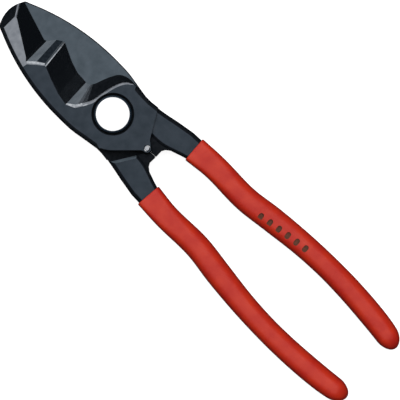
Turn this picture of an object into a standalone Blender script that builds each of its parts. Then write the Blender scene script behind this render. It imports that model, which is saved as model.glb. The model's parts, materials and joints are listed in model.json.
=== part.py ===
"""Two-step cable shears: two crossed forged halves on one adjustable pivot bolt, with dipped plastic grips.

Frame: the origin is on the pivot axis, in the plane of the bolt's threaded end. +Y runs to the jaw
tips, +X to the handle of the front half, and +Z to the bolt head. The shears are closed.
Sizes are in millimetres, and MM turns them into Blender's metres.
"""

import math

import bmesh
import bpy
from mathutils import Matrix, Vector

MM = 0.001

# Overall sizes
JAW_REACH = 57.7  # pivot axis to the jaw tips
HANDLE_REACH = 142.0  # pivot axis to the ends of the grips
HEAD_HALF_WIDTH = 15.95  # at the widest place of the jaws
WIDEST_AT = 15.0  # distance of that place from the pivot axis
HALF_THICKNESS = 6.0  # from the shear plane to the outer face of one half
SHEAR_GAP = 0.3  # between the two halves, across the shear plane

# Jaw outline
TIP_RADIUS = 11.5  # the blunt front end
TIP_HALF_WIDTH = 7.7
TIP_CORNER = 3.9  # length of the rounded corner beside the blunt end
OUTER_ROUND = 1.6  # rounded rim of the outer face
NOSE_START = 37.5  # from here to the tip the outer face slopes
NOSE_SLOPE = math.radians(4.5)
TIP_RUN = 4.1  # this close to the tip the slope is steeper
TIP_SLOPE = math.radians(40.0)

# Ground cutting faces, as distances from the pivot axis
REAR_NOTCH = 16.4
TOOTH = 33.3
FRONT_NOTCH = 38.9
NOTCH_OVERLAP = 1.2  # how far each notch runs past the centre line when closed
TOOTH_OVERLAP = 6.6
GRIND_WIDTH = 11.5  # ground face, from the cutting edge to the outer face, seen from above

# Joint boss and the heel wall behind it
BOSS_RADIUS = 14.2
WAIST_TRIM = 0.3  # the waist is narrower than the boss
WAIST_AT = -4.5
HEEL_CLEARANCE = 3.4  # from the boss to the heel wall of the other half
HEEL_SLOPE = math.radians(31.0)
HEEL_START = 4.4  # inner end of the heel wall, from the centre line
STEP_RUN = 1.2  # the outer face ends this far inside the heel wall

# Pivot bolt, disc spring and nut
HEAD_RADIUS = 7.3
HEAD_CHAMFER = 1.0
HEAD_PROUD = 0.6  # head above the outer face
RECESS_DEPTH = 2.6  # for the head, in the front half
NECK_RADIUS = 5.5
NECK_FLATS = 9.4  # across the two flats that hold the bolt in the front half
JOURNAL_RADIUS = 5.0
THREAD_RADIUS = 4.0
THREAD_END_CHAMFER = 0.5
FIT = 0.2  # clearance round what sits in a hole
SEAT = 0.3  # clearance under what rests on a face
RECESS_CLEARANCE = 0.7  # round the bolt head
NUT_ACROSS_FLATS = 13.0
NUT_HEIGHT = 3.1
NUT_RECESS_CLEARANCE = 0.8
NUT_RECESS_DEPTH = 3.15
SPRING_RADIUS = 7.2
SPRING_THICKNESS = 0.6
SPRING_CONE = 0.25
THREAD_PROUD = 0.2  # thread beyond the nut
NUT_CHAMFER = 0.1  # taken off the middle of each flat's ends
NUT_CHAMFER_SLOPE = math.radians(30.0)

# Stop pin
PIN_RADIUS = 1.0
PIN_BEHIND_WALL = 1.1  # farther from the pivot axis than the heel wall
PIN_PROUD = 0.12
PIN_WALL = 0.9  # steel round the pin
PIN_CHAMFER = 0.2
PIN_WAY_OUT = 24.0  # degrees of its turn over which the pin's seat stays open

# Heel lobes, which meet in the crotch of the handles
LOBE_HALF_THICKNESS = 3.6
LOBE_DEPTH = 2.4  # along the centre line
LOBE_GAP = 0.16  # between the two lobes, when closed
LOBE_CORNER = 0.3

# Handles
TANG_HALF_THICKNESS = 4.6
TANG_CORNER = 1.6
GRIP_MOUTH = 31.8  # pivot axis to the open end of the grip
GRIP_WALL = 1.3
MOUTH_WALL = 0.75
MOUTH_RUN = 4.0  # length over which the wall grows to its full size
FLAT_SIDE_GROWTH = 0.6  # share of that growth that shows on the flat sides
GRIP_FIT = 0.25  # between the tang and the grip
GRIP_END_ROUND = 6.0
GRIP_FULLNESS = 2.7  # of the section: 2 is an ellipse, more is squarer
MOUTH_FULLNESS = 5.0
FULLNESS_RUN = 25.0  # length over which the section grows rounder
TANG_END_COVER = 3.6  # grip beyond the end of the tang
TANG_END_WIDTH = 0.6  # of the tang's end, as shares of the tang behind it
TANG_END_THICKNESS = 0.75

# The covered handle: share of the way from the grip's mouth to its end, distance from the centre
# line, width
HANDLE_CURVE = (
    (0.00, 12.6, 10.7),
    (0.10, 13.45, 10.05),
    (0.25, 13.2, 10.1),
    (0.37, 14.85, 10.25),
    (0.50, 16.35, 9.7),
    (0.62, 17.0, 9.45),
    (0.73, 16.85, 9.6),
    (0.84, 16.05, 9.7),
    (0.93, 14.9, 9.35),
    (1.00, 13.3, 8.2),
)

# Bare tang from inside the boss to the grip's mouth: distance behind the pivot axis, inner and outer edge
BARE_TANG = (
    (9.0, 5.2, 13.9),
    (13.0, 4.7, 14.4),
    (17.0, 4.4, 15.1),
    (21.0, 4.7, 15.9),
    (25.0, 5.9, 16.6),
    (28.0, 6.9, 17.1),
)

ROUND_SIDES = 40
PIN_SIDES = 20
CORNER_STEPS = 3
CURVE_STEPS = 4
RIM_SEGMENTS = 2
GRIP_SIDES = 16
GRIP_STATIONS = 18
CUT_PAST = 2.0  # how far a cutter runs past the metal

WAIST_HALF_WIDTH = BOSS_RADIUS - WAIST_TRIM
HEEL_RADIUS = BOSS_RADIUS + HEEL_CLEARANCE
PIN_AT = -HEEL_RADIUS - PIN_BEHIND_WALL
FACE_LEVEL = HALF_THICKNESS
SHEAR_LEVEL = SHEAR_GAP / 2
RECESS_RADIUS = HEAD_RADIUS + RECESS_CLEARANCE
RECESS_FLOOR = FACE_LEVEL - RECESS_DEPTH
NUT_RECESS_RADIUS = NUT_ACROSS_FLATS / 2 / math.cos(math.pi / 6) + NUT_RECESS_CLEARANCE
NUT_RECESS_FLOOR = NUT_RECESS_DEPTH - FACE_LEVEL
SPRING_TOP = NUT_RECESS_FLOOR - SEAT
NUT_TOP = SPRING_TOP - SPRING_CONE - SPRING_THICKNESS - SEAT
NUT_BOTTOM = NUT_TOP - NUT_HEIGHT
BOLT_END = NUT_BOTTOM - THREAD_PROUD
BOLT_TOP = FACE_LEVEL + HEAD_PROUD
CORNER_RADIUS = PIN_RADIUS + PIN_WALL
LOBE_TOP = PIN_AT - CORNER_RADIUS - SEAT


# Geometry helpers -------------------------------------------------------------------------------


def arc(centre, radius, start, end, count):
    """Points on an arc, with both ends, angles in degrees from +X."""
    points = []
    for i in range(count + 1):
        angle = math.radians(start + (end - start) * i / count)
        points.append((centre[0] + radius * math.cos(angle), centre[1] + radius * math.sin(angle)))
    return points


def spline(knots, steps=CURVE_STEPS):
    """A smooth curve through the knots, each a tuple of numbers, with steps points to a span."""
    ends = [knots[0], *knots, knots[-1]]
    points = []
    for i in range(1, len(ends) - 2):
        for s in range(steps):
            t = s / steps
            point = []
            for a, b, c, d in zip(ends[i - 1], ends[i], ends[i + 1], ends[i + 2]):
                slope_b = (c - a) / 2
                slope_c = (d - b) / 2
                bend = 2 * (b - c) + slope_b + slope_c
                point.append(b + t * (slope_b + t * (c - b - slope_b - bend + t * bend)))
            points.append(tuple(point))
    points.append(tuple(knots[-1]))
    return points


def knot_value(knots, where):
    """The knots' other numbers at a place between two of them: their first number says where."""
    for low, high in zip(knots, knots[1:]):
        if where <= high[0]:
            break
    index = knots.index(low)
    before = knots[max(0, index - 1)]
    after = knots[min(len(knots) - 1, index + 2)]
    t = min(1.0, max(0.0, (where - low[0]) / (high[0] - low[0])))
    values = []
    for a, b, c, d in zip(before[1:], low[1:], high[1:], after[1:]):
        slope_b = (c - a) * (high[0] - low[0]) / (high[0] - before[0])
        slope_c = (d - b) * (high[0] - low[0]) / (after[0] - low[0])
        bend = 2 * (b - c) + slope_b + slope_c
        values.append(b + t * (slope_b + t * (c - b - slope_b - bend + t * bend)))
    return values


def ease(share):
    """0 to 1 with level ends."""
    share = min(1.0, max(0.0, share))
    return share * share * (3 - 2 * share)


def steel(name, colour, roughness, metallic):
    """A plain finish of that colour."""
    material = bpy.data.materials.new(name)
    material.use_nodes = True
    shader = material.node_tree.nodes["Principled BSDF"]
    shader.inputs["Base Color"].default_value = (*colour, 1.0)
    shader.inputs["Roughness"].default_value = roughness
    shader.inputs["Metallic"].default_value = metallic
    return material


def add_object(name, mesh_data, material, parent):
    """An object of its own for a bmesh, in the frame of its parent."""
    bmesh.ops.recalc_face_normals(mesh_data, faces=mesh_data.faces)
    mesh = bpy.data.meshes.new(name)
    mesh_data.to_mesh(mesh)
    mesh_data.free()
    mesh.transform(Matrix.Scale(MM, 4))
    if material:
        mesh.materials.append(material)
    made = bpy.data.objects.new(name, mesh)
    bpy.context.scene.collection.objects.link(made)
    made.parent = parent
    return made


def helper(name, mesh_data, parent):
    """A shape that only joins or cuts another one."""
    made = add_object(name, mesh_data, None, parent)
    made.hide_render = True
    made.display_type = "WIRE"
    return made


def boolean(target, operation, other):
    modifier = target.modifiers.new(other.name, "BOOLEAN")
    modifier.operation = operation
    modifier.object = other


def prism(points, low, high):
    """An upright solid over an outline."""
    made = bmesh.new()
    base = made.faces.new([made.verts.new((x, y, low)) for x, y in points])
    top = bmesh.ops.extrude_face_region(made, geom=[base])["geom"]
    moved = [v for v in top if isinstance(v, bmesh.types.BMVert)]
    bmesh.ops.translate(made, verts=moved, vec=(0, 0, high - low))
    return made


def turned(profile, sides=ROUND_SIDES):
    """A solid of revolution about Z. Its (radius, height) points start and end on the axis, or close
    on themselves.
    """
    made = bmesh.new()
    points = [made.verts.new((radius, 0, height)) for radius, height in profile]
    edges = [made.edges.new(pair) for pair in zip(points, points[1:])]
    if profile[0][0] > 0:
        edges.append(made.edges.new((points[-1], points[0])))
    bmesh.ops.spin(
        made,
        geom=points + edges,
        axis=(0, 0, 1),
        cent=(0, 0, 0),
        angle=2 * math.pi,
        steps=sides,
        use_merge=True,
        use_duplicate=False,
    )
    bmesh.ops.remove_doubles(made, verts=made.verts, dist=1e-4)
    return made


def moved_by(mesh_data, x, y):
    bmesh.ops.translate(mesh_data, verts=mesh_data.verts, vec=(x, y, 0))
    return mesh_data


def smooth_shading(made, degrees=35.0):
    made.data.shade_smooth()
    made.data.set_sharp_from_angle(angle=math.radians(degrees))


# The forged halves ------------------------------------------------------------------------------


def tip_height(x):
    """The blunt front end of the jaws, at a distance from the centre line."""
    return JAW_REACH - TIP_RADIUS + math.sqrt(TIP_RADIUS**2 - x**2)


def side_of_head():
    """The left silhouette, from the tip's corner down to the boss: one long arc, then the waist."""
    run = JAW_REACH - TIP_CORNER - WIDEST_AT
    rise = HEAD_HALF_WIDTH - TIP_HALF_WIDTH
    radius = (run**2 + rise**2) / (2 * rise)
    centre = (radius - HEAD_HALF_WIDTH, WIDEST_AT)
    start = 180.0 - math.degrees(math.asin(run / radius))
    corner_x = TIP_HALF_WIDTH * 0.7
    corner = spline(
        [
            (-corner_x, tip_height(corner_x)),
            (-TIP_HALF_WIDTH * 0.9, JAW_REACH - TIP_CORNER * 0.55),
            (-TIP_HALF_WIDTH, JAW_REACH - TIP_CORNER),
        ]
    )
    side = arc(centre, radius, start, 180.0, 12)
    waist = spline(
        [
            (-HEAD_HALF_WIDTH, WIDEST_AT),
            (-HEAD_HALF_WIDTH + 0.2, WIDEST_AT * 0.55 + WAIST_AT * 0.2),
            (-(HEAD_HALF_WIDTH + 2 * WAIST_HALF_WIDTH) / 3, 0.0),
            (-WAIST_HALF_WIDTH, WAIST_AT),
        ]
    )
    return corner[:-1] + side + waist[1:]


def boss_edge():
    """From the left end of the waist, round the boss, to the corner that holds the pin."""
    start = 180.0 + math.degrees(math.asin((1.2 - WAIST_AT) / BOSS_RADIUS))
    boss = arc((0.0, 0.0), BOSS_RADIUS, start, 225.0, 4)
    reach = BOSS_RADIUS * math.sqrt(2)
    lead_in = CORNER_RADIUS + 0.5
    along = (-lead_in, lead_in - reach)
    corner = arc((0.0, PIN_AT), CORNER_RADIUS, 175.0, 300.0, 7)
    return [*boss, along, *corner]


def heel_line(offset):
    """Two points of the line along the heel wall on the right, moved away from the pivot axis by offset."""
    square = (math.sin(HEEL_SLOPE), -math.cos(HEEL_SLOPE))
    reach = HEEL_RADIUS + offset
    foot = (square[0] * reach, square[1] * reach)
    ends = []
    for x in (HEEL_START, WAIST_HALF_WIDTH + 0.4):
        run = (x - foot[0]) / math.cos(HEEL_SLOPE)
        ends.append((x, foot[1] + run * math.sin(HEEL_SLOPE)))
    return ends


def ground_faces():
    """Pairs of points from the boss's right edge to the jaw tip: on the shear plane, and on the outer face.

    The two lines between them rule the faces that are ground to make the cutting edge.
    """
    shoulder = RECESS_RADIUS + 0.4
    side = WAIST_HALF_WIDTH
    notch_face = NOTCH_OVERLAP - GRIND_WIDTH
    shear_curve = [
        (side + 0.5, REAR_NOTCH - 12.0),
        (side, REAR_NOTCH - 9.3),
        (side - 1.4, REAR_NOTCH - 7.0),
        (side - 4.3, REAR_NOTCH - 5.2),
        (side - 7.4, REAR_NOTCH - 3.9),
        (NOTCH_OVERLAP + 2.1, REAR_NOTCH - 2.7),
        (NOTCH_OVERLAP + 0.6, REAR_NOTCH - 1.6),
    ]
    face_curve = [
        (side + 0.2, shoulder - 7.6),
        (side - 0.6, shoulder - 4.6),
        (side - 2.8, shoulder - 2.6),
        (side - 6.4, shoulder - 1.1),
        (2.6, shoulder),
        (-2.6, shoulder + 0.9),
        (notch_face + 2.2, shoulder + 4.1),
    ]
    pairs = list(zip(spline(shear_curve), spline(face_curve)))
    tooth_face = TOOTH_OVERLAP - GRIND_WIDTH - 0.4
    rise = TOOTH - REAR_NOTCH
    pairs += [
        ((NOTCH_OVERLAP + 0.2, REAR_NOTCH), (notch_face, REAR_NOTCH - 0.9)),
        ((NOTCH_OVERLAP + 0.5, REAR_NOTCH + 0.30 * rise), (notch_face + 1.2, REAR_NOTCH + 0.24 * rise)),
        ((NOTCH_OVERLAP + 1.9, REAR_NOTCH + 0.56 * rise), (notch_face + 2.6, REAR_NOTCH + 0.54 * rise)),
        ((TOOTH_OVERLAP, TOOTH), (tooth_face, TOOTH - 1.8)),
        ((TOOTH_OVERLAP - 0.3, TOOTH + 0.9), (tooth_face, TOOTH - 0.9)),
        ((TOOTH_OVERLAP - 1.7, TOOTH + 3.0), (tooth_face - 1.7, TOOTH + 1.7)),
        ((NOTCH_OVERLAP + 0.7, FRONT_NOTCH - 0.2), (notch_face + 0.6, FRONT_NOTCH - 0.9)),
        ((NOTCH_OVERLAP + 0.4, FRONT_NOTCH + 0.9), (notch_face + 1.8, FRONT_NOTCH + 0.3)),
    ]
    return pairs


def plate():
    """The jaw and the joint boss of the front half, above the shear plane."""
    edge_end = TOOTH_OVERLAP
    face_end = TOOTH_OVERLAP - 5.2
    left_end = -TIP_HALF_WIDTH * 0.7
    tip_count = 6
    shear = []
    face = []
    for i in range(tip_count):
        share = i / tip_count
        shear_x = edge_end + (left_end - edge_end) * share
        face_x = face_end + (left_end - face_end) * share
        shear.append((shear_x, tip_height(shear_x)))
        face.append((face_x, tip_height(face_x)))
    step_inner, step_outer = heel_line(-STEP_RUN)
    shared = side_of_head() + boss_edge() + [(HEEL_START - 1.2, step_inner[1] - 0.6), step_outer]
    shared += spline(
        [
            (WAIST_HALF_WIDTH, WAIST_AT * 1.6),
            (WAIST_HALF_WIDTH, WAIST_AT),
            (WAIST_HALF_WIDTH + 0.1, WAIST_AT * 0.35),
            (WAIST_HALF_WIDTH + 0.3, 0.3),
        ],
        3,
    )
    shear += shared
    face += shared
    for on_shear, on_face in ground_faces():
        shear.append(on_shear)
        face.append(on_face)
    made = prism(shear, SHEAR_LEVEL, FACE_LEVEL)
    made.verts.ensure_lookup_table()
    for vert, (x, y) in zip(made.verts[len(shear) :], face):
        vert.co.x = x
        vert.co.y = y
    bmesh.ops.recalc_face_normals(made, faces=made.faces)
    tip_start = JAW_REACH - TIP_RUN
    tip_level = FACE_LEVEL - (tip_start - NOSE_START) * math.tan(NOSE_SLOPE)
    for start, level, slope in ((NOSE_START, FACE_LEVEL, NOSE_SLOPE), (tip_start, tip_level, TIP_SLOPE)):
        cut = bmesh.ops.bisect_plane(
            made,
            geom=made.verts[:] + made.edges[:] + made.faces[:],
            plane_co=(0, start, level),
            plane_no=(0, math.sin(slope), math.cos(slope)),
            clear_outer=True,
        )["geom_cut"]
        bmesh.ops.contextual_create(made, geom=[e for e in cut if isinstance(e, bmesh.types.BMEdge)])
        bmesh.ops.recalc_face_normals(made, faces=made.faces)
    rim = []
    for edge in made.edges:
        slopes = sorted(face.normal.z for face in edge.link_faces)
        middle = (edge.verts[0].co + edge.verts[1].co) / 2
        lowest = WAIST_AT if middle.x < 0 else step_outer[1]
        if abs(slopes[0]) < 0.1 and slopes[-1] > 0.98 and middle.y > lowest:
            rim.append(edge)
    bmesh.ops.bevel(
        made,
        geom=rim,
        offset=OUTER_ROUND,
        segments=RIM_SEGMENTS,
        profile=0.5,
        affect="EDGES",
        material=-1,
    )
    return made


def handle_at(share):
    """Centre, width and wall of the covered handle, at a share of the way from the grip's mouth."""
    length = HANDLE_REACH - GRIP_MOUTH
    x, width = knot_value(HANDLE_CURVE, share)
    wall = MOUTH_WALL + (GRIP_WALL - MOUTH_WALL) * ease(share * length / MOUTH_RUN)
    return (x, -GRIP_MOUTH - share * length), width, wall


def bare_stations():
    """Centre, half width and half thickness of the tang, from inside the boss to the grip's mouth."""
    stations = []
    for y, inner, outer in spline(BARE_TANG, 2):
        stations.append(((inner + outer) / 2, -y, (outer - inner) / 2, TANG_HALF_THICKNESS))
    return stations


def covered_stations():
    """The same for the tang inside the grip, which ends narrower."""
    stations = []
    length = HANDLE_REACH - GRIP_MOUTH
    last = 1 - TANG_END_COVER / length
    for i in range(GRIP_STATIONS + 1):
        share = last * i / GRIP_STATIONS
        (x, y), width, wall = handle_at(share)
        half_thickness = TANG_HALF_THICKNESS - (GRIP_WALL - MOUTH_WALL) * ease(share * length / MOUTH_RUN)
        stations.append((x, y, width / 2 - wall, half_thickness))
    x, y, half_width, half_thickness = stations[-1]
    stations[-1] = (x, y, half_width * TANG_END_WIDTH, half_thickness * TANG_END_THICKNESS)
    return stations


def rounded_section(half_width, half_thickness, corner):
    """A rounded rectangle in the plane of X and Z."""
    corner = min(corner, 0.9 * half_width, 0.9 * half_thickness)
    points = []
    for quarter, (side, up) in enumerate(((1, 1), (-1, 1), (-1, -1), (1, -1))):
        centre = (side * (half_width - corner), up * (half_thickness - corner))
        points += arc(centre, corner, 90 * quarter, 90 * quarter + 90, CORNER_STEPS)
    return points


def oval_section(half_width, half_thickness, fullness):
    """A full, flattened oval in the plane of X and Z."""
    points = []
    for i in range(GRIP_SIDES):
        angle = 2 * math.pi * i / GRIP_SIDES
        c, s = math.cos(angle), math.sin(angle)
        x = math.copysign(abs(c) ** (2 / fullness), c) * half_width
        z = math.copysign(abs(s) ** (2 / fullness), s) * half_thickness
        points.append((x, z))
    return points


def swept(stations, section):
    """A closed solid through sections set square to the line of the stations' centres."""
    made = bmesh.new()
    rings = []
    for i, (x, y, *size) in enumerate(stations):
        before = stations[max(0, i - 1)]
        after = stations[min(len(stations) - 1, i + 1)]
        along = Vector((after[0] - before[0], after[1] - before[1], 0)).normalized()
        across = Vector((-along.y, along.x, 0))
        ring = []
        for sx, sz in section(*size):
            ring.append(made.verts.new(Vector((x, y, 0)) + across * sx + Vector((0, 0, sz))))
        rings.append(ring)
    for first, second in zip(rings, rings[1:]):
        for i in range(len(first)):
            j = (i + 1) % len(first)
            made.faces.new((first[i], first[j], second[j], second[i]))
    made.faces.new(rings[0])
    made.faces.new(rings[-1])
    return made


def tang():
    return swept(bare_stations() + covered_stations(), lambda w, t: rounded_section(w, t, TANG_CORNER))


def lobe():
    """The web inside the heel, and its lobe that meets the other half's when the shears close."""
    bottom = LOBE_TOP - LOBE_DEPTH
    inner = LOBE_GAP / 2
    outline = [
        (inner, PIN_AT - 0.8),
        (inner, bottom + LOBE_CORNER),
        (inner + LOBE_CORNER, bottom),
        (3.2, bottom + 0.1),
        (4.6, bottom - 0.7),
        (5.9, bottom - 2.4),
        (8.0, bottom - 3.4),
        (8.0, PIN_AT + 2.7),
        (HEEL_START + 0.6, PIN_AT + 3.2),
        (HEEL_START - 1.8, PIN_AT + 1.7),
    ]
    return prism(outline, -LOBE_HALF_THICKNESS, LOBE_HALF_THICKNESS)


def joint_clearance():
    """What is milled away under the shear plane so that the other half's boss and corner can turn there."""
    heel_inner, heel_outer = heel_line(0.0)
    far = JAW_REACH
    radius = CORNER_RADIUS + SEAT
    slope = math.tan(HEEL_SLOPE)
    outline = [
        (far, heel_outer[1] + (far - heel_outer[0]) * slope),
        (far, far),
        (-far, far),
        (-far, PIN_AT - radius),
        *arc((0.0, PIN_AT), radius, 270, 340, 6),
        (radius * 1.05, heel_inner[1] - (heel_inner[0] - radius * 1.05) * slope),
        heel_outer,
    ]
    return prism(outline, -FACE_LEVEL - CUT_PAST, SHEAR_LEVEL)


def disc(radius, low, high, sides=ROUND_SIDES):
    return turned([(0, low), (radius, low), (radius, high), (0, high)], sides)


def double_flat(radius, across, low, high):
    """A round bar with two flats, which lie along Y."""
    limit = math.degrees(math.acos(across / 2 / radius))
    outline = arc((0, 0), radius, limit, 180 - limit, ROUND_SIDES // 4)
    outline += arc((0, 0), radius, 180 + limit, 360 - limit, ROUND_SIDES // 4)
    return prism(outline, low, high)


def pin_seat():
    """The half-round seat in the rear half that the pin closes against, and the pin's way out of it.

    It is drawn for a pin that leaves towards -X, because the rear half is built turned over.
    """
    radius = PIN_RADIUS + SEAT
    inner = -PIN_AT - radius
    outer = -PIN_AT + CORNER_RADIUS + SEAT
    outline = arc((0, PIN_AT), radius, 90, -90, 8)
    outline += arc((0, 0), outer, -90, -90 - PIN_WAY_OUT, 4)
    outline += arc((0, 0), inner, -90 - PIN_WAY_OUT, -90 - 4, 4)
    return prism(outline, -CUT_PAST, FACE_LEVEL + CUT_PAST)


def forging(name, material, parent):
    """One half as it comes from the forge and the mill, before its joint holes."""
    made = add_object(name, plate(), material, parent)
    boolean(made, "UNION", helper(name + "_tang", tang(), parent))
    boolean(made, "UNION", helper(name + "_lobe", lobe(), parent))
    boolean(made, "DIFFERENCE", helper(name + "_clearance", joint_clearance(), parent))
    return made


def front_half(material, parent):
    made = forging("front_half", material, parent)
    top = FACE_LEVEL + CUT_PAST
    recess = disc(RECESS_RADIUS, RECESS_FLOOR, top)
    boolean(made, "DIFFERENCE", helper("head_recess", recess, parent))
    bore = double_flat(NECK_RADIUS + FIT, NECK_FLATS + 2 * FIT, -CUT_PAST, top)
    boolean(made, "DIFFERENCE", helper("neck_bore", bore, parent))
    hole = moved_by(disc(PIN_RADIUS + FIT, -CUT_PAST, top, PIN_SIDES), 0, PIN_AT)
    boolean(made, "DIFFERENCE", helper("pin_hole", hole, parent))
    return made


def rear_half(material, parent):
    """The same forging turned over about the long axis, with the nut's recess and the pin's seat.

    It is built as the front half is, and its parent turns it over, so its outer face is at +Z here.
    """
    made = forging("rear_half", material, parent)
    top = FACE_LEVEL + CUT_PAST
    recess = disc(NUT_RECESS_RADIUS, -NUT_RECESS_FLOOR, top)
    boolean(made, "DIFFERENCE", helper("nut_recess", recess, parent))
    bore = disc(JOURNAL_RADIUS + FIT, -CUT_PAST, top)
    boolean(made, "DIFFERENCE", helper("journal_bore", bore, parent))
    boolean(made, "DIFFERENCE", helper("pin_seat_cut", pin_seat(), parent))
    return made


# Joint hardware ---------------------------------------------------------------------------------


def pivot_bolt(material, parent):
    """Flat round head, flatted neck held by the front half, journal for the rear half, and thread."""
    head_bottom = RECESS_FLOOR + SEAT
    profile = [
        (0, BOLT_END),
        (THREAD_RADIUS - THREAD_END_CHAMFER, BOLT_END),
        (THREAD_RADIUS, BOLT_END + THREAD_END_CHAMFER),
        (THREAD_RADIUS, NUT_RECESS_FLOOR + SEAT),
        (JOURNAL_RADIUS, NUT_RECESS_FLOOR + SEAT),
        (JOURNAL_RADIUS, SHEAR_LEVEL),
        (NECK_RADIUS, SHEAR_LEVEL),
        (NECK_RADIUS, head_bottom),
        (HEAD_RADIUS, head_bottom),
        (HEAD_RADIUS, BOLT_TOP - HEAD_CHAMFER),
        (HEAD_RADIUS - 0.3 * HEAD_CHAMFER, BOLT_TOP - 0.3 * HEAD_CHAMFER),
        (HEAD_RADIUS - HEAD_CHAMFER, BOLT_TOP),
        (0, BOLT_TOP),
    ]
    made = add_object("pivot_bolt", turned(profile), material, parent)
    for side in (-1, 1):
        reach = side * (NECK_RADIUS + CUT_PAST)
        flat = side * NECK_FLATS / 2
        beside = [(flat, -NECK_RADIUS), (reach, -NECK_RADIUS), (reach, NECK_RADIUS), (flat, NECK_RADIUS)]
        name = "neck_flat_left" if side < 0 else "neck_flat_right"
        boolean(made, "DIFFERENCE", helper(name, prism(beside, 0, head_bottom), parent))
    smooth_shading(made)
    return made


def pivot_nut(material, parent):
    """Thin hexagon nut with chamfered corners and a plain hole for the thread."""
    corner = NUT_ACROSS_FLATS / 2 / math.cos(math.pi / 6)
    hexagon = arc((0, 0), corner, 0, 300, 5)
    made = add_object("pivot_nut", prism(hexagon, NUT_BOTTOM, NUT_TOP), material, parent)
    flat = NUT_ACROSS_FLATS / 2 - NUT_CHAMFER
    outside = corner + NUT_CHAMFER
    slope = (outside - flat) * math.tan(NUT_CHAMFER_SLOPE)
    barrel = [
        (0, NUT_BOTTOM),
        (flat, NUT_BOTTOM),
        (outside, NUT_BOTTOM + slope),
        (outside, NUT_TOP - slope),
        (flat, NUT_TOP),
        (0, NUT_TOP),
    ]
    boolean(made, "INTERSECT", helper("nut_chamfer", turned(barrel), parent))
    hole = disc(THREAD_RADIUS + FIT, NUT_BOTTOM - CUT_PAST, NUT_TOP + CUT_PAST)
    boolean(made, "DIFFERENCE", helper("nut_hole", hole, parent))
    smooth_shading(made)
    return made


def disc_spring(material, parent):
    """Shallow cone that keeps the joint free of play, its rim on the rear half and its bore on the nut."""
    bore = THREAD_RADIUS + 2 * FIT
    profile = [
        (bore, SPRING_TOP - SPRING_CONE),
        (SPRING_RADIUS, SPRING_TOP),
        (SPRING_RADIUS, SPRING_TOP - SPRING_THICKNESS),
        (bore, SPRING_TOP - SPRING_CONE - SPRING_THICKNESS),
    ]
    made = add_object("disc_spring", turned(profile), material, parent)
    smooth_shading(made)
    return made


def stop_pin(material, parent):
    """Dowel pressed into the front half's corner. It stops the closing movement in the rear half's seat."""
    low = SHEAR_LEVEL - FACE_LEVEL
    top = FACE_LEVEL + PIN_PROUD
    profile = [
        (0, low),
        (PIN_RADIUS - PIN_CHAMFER, low),
        (PIN_RADIUS, low + PIN_CHAMFER),
        (PIN_RADIUS, top - PIN_CHAMFER),
        (PIN_RADIUS - PIN_CHAMFER, top),
        (0, top),
    ]
    made = add_object("stop_pin", moved_by(turned(profile, PIN_SIDES), 0, PIN_AT), material, parent)
    smooth_shading(made)
    return made


# Grips ------------------------------------------------------------------------------------------


def grip_half_thickness(share):
    length = HANDLE_REACH - GRIP_MOUTH
    mouth = TANG_HALF_THICKNESS + MOUTH_WALL
    full = mouth + (GRIP_WALL - MOUTH_WALL) * FLAT_SIDE_GROWTH
    return mouth + (full - mouth) * ease(share * length / MOUTH_RUN)


def grip_fullness(share):
    """The section is nearly square where the sleeve follows the tang, and rounder farther on."""
    gone = ease(share * (HANDLE_REACH - GRIP_MOUTH) / FULLNESS_RUN)
    return MOUTH_FULLNESS + (GRIP_FULLNESS - MOUTH_FULLNESS) * gone


def grip(name, material, parent):
    """A dipped sleeve: closed and rounded at the end, with a thin mouth round the tang."""
    length = HANDLE_REACH - GRIP_MOUTH
    round_start = 1 - GRIP_END_ROUND / length
    stations = []
    shares = [i * round_start / GRIP_STATIONS for i in range(GRIP_STATIONS + 1)]
    end_steps = 5
    for i in range(1, end_steps + 1):
        shares.append(round_start + (1 - round_start) * math.sin(math.pi / 2 * i / (end_steps + 0.35)))
    for share in shares:
        (x, y), width, _wall = handle_at(share)
        past = max(0.0, (share - round_start) / (1 - round_start))
        shrink = math.sqrt(1 - past * past)
        half_thickness = grip_half_thickness(share) * shrink
        stations.append((x, y, width / 2 * shrink, half_thickness, grip_fullness(share)))
    made = add_object(name, swept(stations, oval_section), material, parent)
    cavity = []
    for x, y, half_width, half_thickness in bare_stations()[-2:] + covered_stations():
        cavity.append((x, y, half_width + GRIP_FIT, half_thickness + GRIP_FIT))
    x, y, half_width, half_thickness = cavity[-1]
    along = Vector((x - cavity[-2][0], y - cavity[-2][1])).normalized() * GRIP_FIT
    cavity.append((x + along.x, y + along.y, half_width, half_thickness))
    room = swept(cavity, lambda w, t: rounded_section(w, t, TANG_CORNER + GRIP_FIT))
    boolean(made, "DIFFERENCE", helper(name + "_room", room, parent))
    smooth_shading(made)
    return made


# Assembly ---------------------------------------------------------------------------------------


def main():
    for old in list(bpy.data.objects):
        bpy.data.objects.remove(old)
    front = bpy.data.objects.new("front_side", None)
    rear = bpy.data.objects.new("rear_side", None)
    for side in (front, rear):
        bpy.context.scene.collection.objects.link(side)
        side.location = (0, 0, -BOLT_END * MM)
    rear.rotation_euler = (0, math.pi, 0)
    black_steel = steel("black_steel", (0.045, 0.052, 0.06), 0.42, 0.85)
    bright_steel = steel("bright_steel", (0.86, 0.87, 0.88), 0.18, 1.0)
    spring_steel = steel("spring_steel", (0.3, 0.3, 0.31), 0.35, 1.0)
    red_plastic = steel("red_plastic", (0.62, 0.03, 0.02), 0.45, 0.0)
    front_half(black_steel, front)
    rear_half(black_steel, rear)
    pivot_bolt(bright_steel, front)
    disc_spring(spring_steel, front)
    pivot_nut(bright_steel, front)
    stop_pin(bright_steel, front)
    grip("front_grip", red_plastic, front)
    grip("rear_grip", red_plastic, rear)


main()
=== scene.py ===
import json
import math

import bmesh
import bpy
from mathutils import Matrix, Vector


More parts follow.
